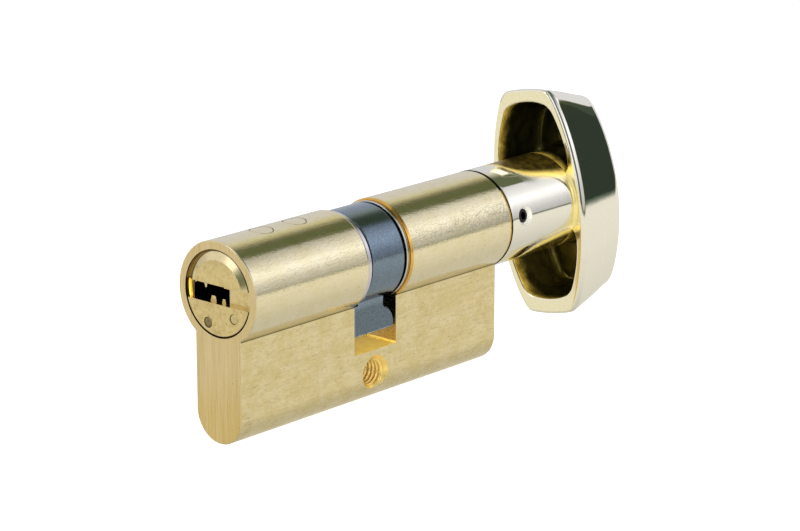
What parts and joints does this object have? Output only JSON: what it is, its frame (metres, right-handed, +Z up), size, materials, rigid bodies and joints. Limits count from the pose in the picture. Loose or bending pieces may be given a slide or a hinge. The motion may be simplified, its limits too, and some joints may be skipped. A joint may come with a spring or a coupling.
{
  "type": "euro cylinder with thumbturn",
  "caption": "Euro-profile door cylinder in brass: keyed plug on one side, wedge-shaped thumbturn knob on the other, steel cam between, sprung pins in the web.",
  "frame": {"origin": "middle of the whole length and width, level with the lowest line of the web; the plug axis is 24.5 mm above it and the plane of the cam and the fixing-screw hole is at x -14.75 mm", "axes": "+X along the plug axis towards the thumbturn, -X is the keyed face, +Z up, the web and the cam lug hang towards -Z"},
  "size_m": [0.0914, 0.021, 0.0445],
  "materials": {
    "housing_brass": "drawn brass with a satin, lightly scratched surface",
    "plug_brass": "turned brass, satin",
    "knob_brass": "polished brass plating, near mirror",
    "pin_brass": "turned brass",
    "bright_steel": "bright zinc-plated steel",
    "spring_wire": "drawn stainless wire",
    "hardened_steel": "hardened steel, dull",
    "sintered_steel": "sintered steel, blue-grey, fine sparkling grain",
    "black_steel": "black oxide"
  },
  "bodies": {
    "housing": {"housing": "housing_brass", "top_chamber_plug_1": "housing_brass", "top_chamber_plug_2": "housing_brass", "bottom_chamber_plug_1": "housing_brass", "bottom_chamber_plug_2": "housing_brass", "bottom_chamber_plug_3": "housing_brass", "bottom_chamber_plug_4": "housing_brass", "bottom_chamber_plug_5": "housing_brass", "friction_chamber_plug": "housing_brass", "driver_spring_1": "spring_wire", "driver_spring_2": "spring_wire", "driver_spring_3": "spring_wire", "driver_spring_4": "spring_wire", "driver_spring_5": "spring_wire", "friction_spring": "spring_wire"},
    "key_plug": {"key_plug": "plug_brass", "front_circlip": "bright_steel", "plug_drill_pin_1": "hardened_steel", "plug_drill_pin_2": "hardened_steel"},
    "key_coupler": {"key_coupler": "bright_steel"},
    "cam": {"cam": "sintered_steel"},
    "thumbturn": {"thumbturn_rotor": "plug_brass", "rear_circlip": "bright_steel", "knob": "knob_brass", "knob_grub_screw": "black_steel", "coupler_spring": "spring_wire"},
    "thumbturn_coupler": {"thumbturn_coupler": "bright_steel"},
    "friction_pin": {"friction_pin": "pin_brass"},
    "key_pin_1": {"key_pin_1": "pin_brass"},
    "driver_pin_1": {"driver_pin_1": "bright_steel"},
    "key_pin_2": {"key_pin_2": "pin_brass"},
    "driver_pin_2": {"driver_pin_2": "bright_steel"},
    "key_pin_3": {"key_pin_3": "pin_brass"},
    "driver_pin_3": {"driver_pin_3": "bright_steel"},
    "key_pin_4": {"key_pin_4": "pin_brass"},
    "driver_pin_4": {"driver_pin_4": "bright_steel"},
    "key_pin_5": {"key_pin_5": "pin_brass"},
    "driver_pin_5": {"driver_pin_5": "bright_steel"}
  },
  "joints": [
    {"name": "thumbturn_turn", "type": "hinge", "parent": "housing", "child": "thumbturn", "pos_m": [-0.01475, 0, 0.0245], "axis": [1, 0, 0], "continuous": true},
    {"name": "cam_turn", "type": "hinge", "parent": "housing", "child": "cam", "pos_m": [-0.01475, 0, 0.0245], "axis": [1, 0, 0], "continuous": true},
    {"name": "key_plug_turn", "type": "hinge", "parent": "housing", "child": "key_plug", "pos_m": [-0.01475, 0, 0.0245], "axis": [1, 0, 0], "continuous": true},
    {"name": "key_coupler_slide", "type": "slide", "parent": "key_plug", "child": "key_coupler", "axis": [1, 0, 0], "range_m": [0, 0.0022]},
    {"name": "thumbturn_coupler_slide", "type": "slide", "parent": "thumbturn", "child": "thumbturn_coupler", "axis": [1, 0, 0], "range_m": [0, 0.0022], "deforming": ["coupler_spring"]},
    {"name": "key_pin_1_lift", "type": "slide", "parent": "key_plug", "child": "key_pin_1", "axis": [0, 0, 1], "range_m": [0, 0.0012]},
    {"name": "key_pin_2_lift", "type": "slide", "parent": "key_plug", "child": "key_pin_2", "axis": [0, 0, 1], "range_m": [0, 0.0012]},
    {"name": "key_pin_3_lift", "type": "slide", "parent": "key_plug", "child": "key_pin_3", "axis": [0, 0, 1], "range_m": [0, 0.0012]},
    {"name": "key_pin_4_lift", "type": "slide", "parent": "key_plug", "child": "key_pin_4", "axis": [0, 0, 1], "range_m": [0, 0.0012]},
    {"name": "key_pin_5_lift", "type": "slide", "parent": "key_plug", "child": "key_pin_5", "axis": [0, 0, 1], "range_m": [0, 0.0012]},
    {"name": "driver_pin_1_press", "type": "slide", "parent": "housing", "child": "driver_pin_1", "axis": [0, 0, -1], "range_m": [0, 0.0015], "deforming": ["driver_spring_1"]},
    {"name": "driver_pin_2_press", "type": "slide", "parent": "housing", "child": "driver_pin_2", "axis": [0, 0, -1], "range_m": [0, 0.0015], "deforming": ["driver_spring_2"]},
    {"name": "driver_pin_3_press", "type": "slide", "parent": "housing", "child": "driver_pin_3", "axis": [0, 0, -1], "range_m": [0, 0.0015], "deforming": ["driver_spring_3"]},
    {"name": "driver_pin_4_press", "type": "slide", "parent": "housing", "child": "driver_pin_4", "axis": [0, 0, -1], "range_m": [0, 0.0015], "deforming": ["driver_spring_4"]},
    {"name": "driver_pin_5_press", "type": "slide", "parent": "housing", "child": "driver_pin_5", "axis": [0, 0, -1], "range_m": [0, 0.0015], "deforming": ["driver_spring_5"]},
    {"name": "friction_pin_press", "type": "slide", "parent": "housing", "child": "friction_pin", "axis": [0, 0, -1], "range_m": [0, 0.001], "deforming": ["friction_spring"]}
  ],
  "couplings": [
    {"joint": "cam_turn", "follows": "thumbturn_turn", "ratio": 1},
    {"joint": "thumbturn_coupler_slide", "follows": "key_coupler_slide", "ratio": 1}
  ]
}
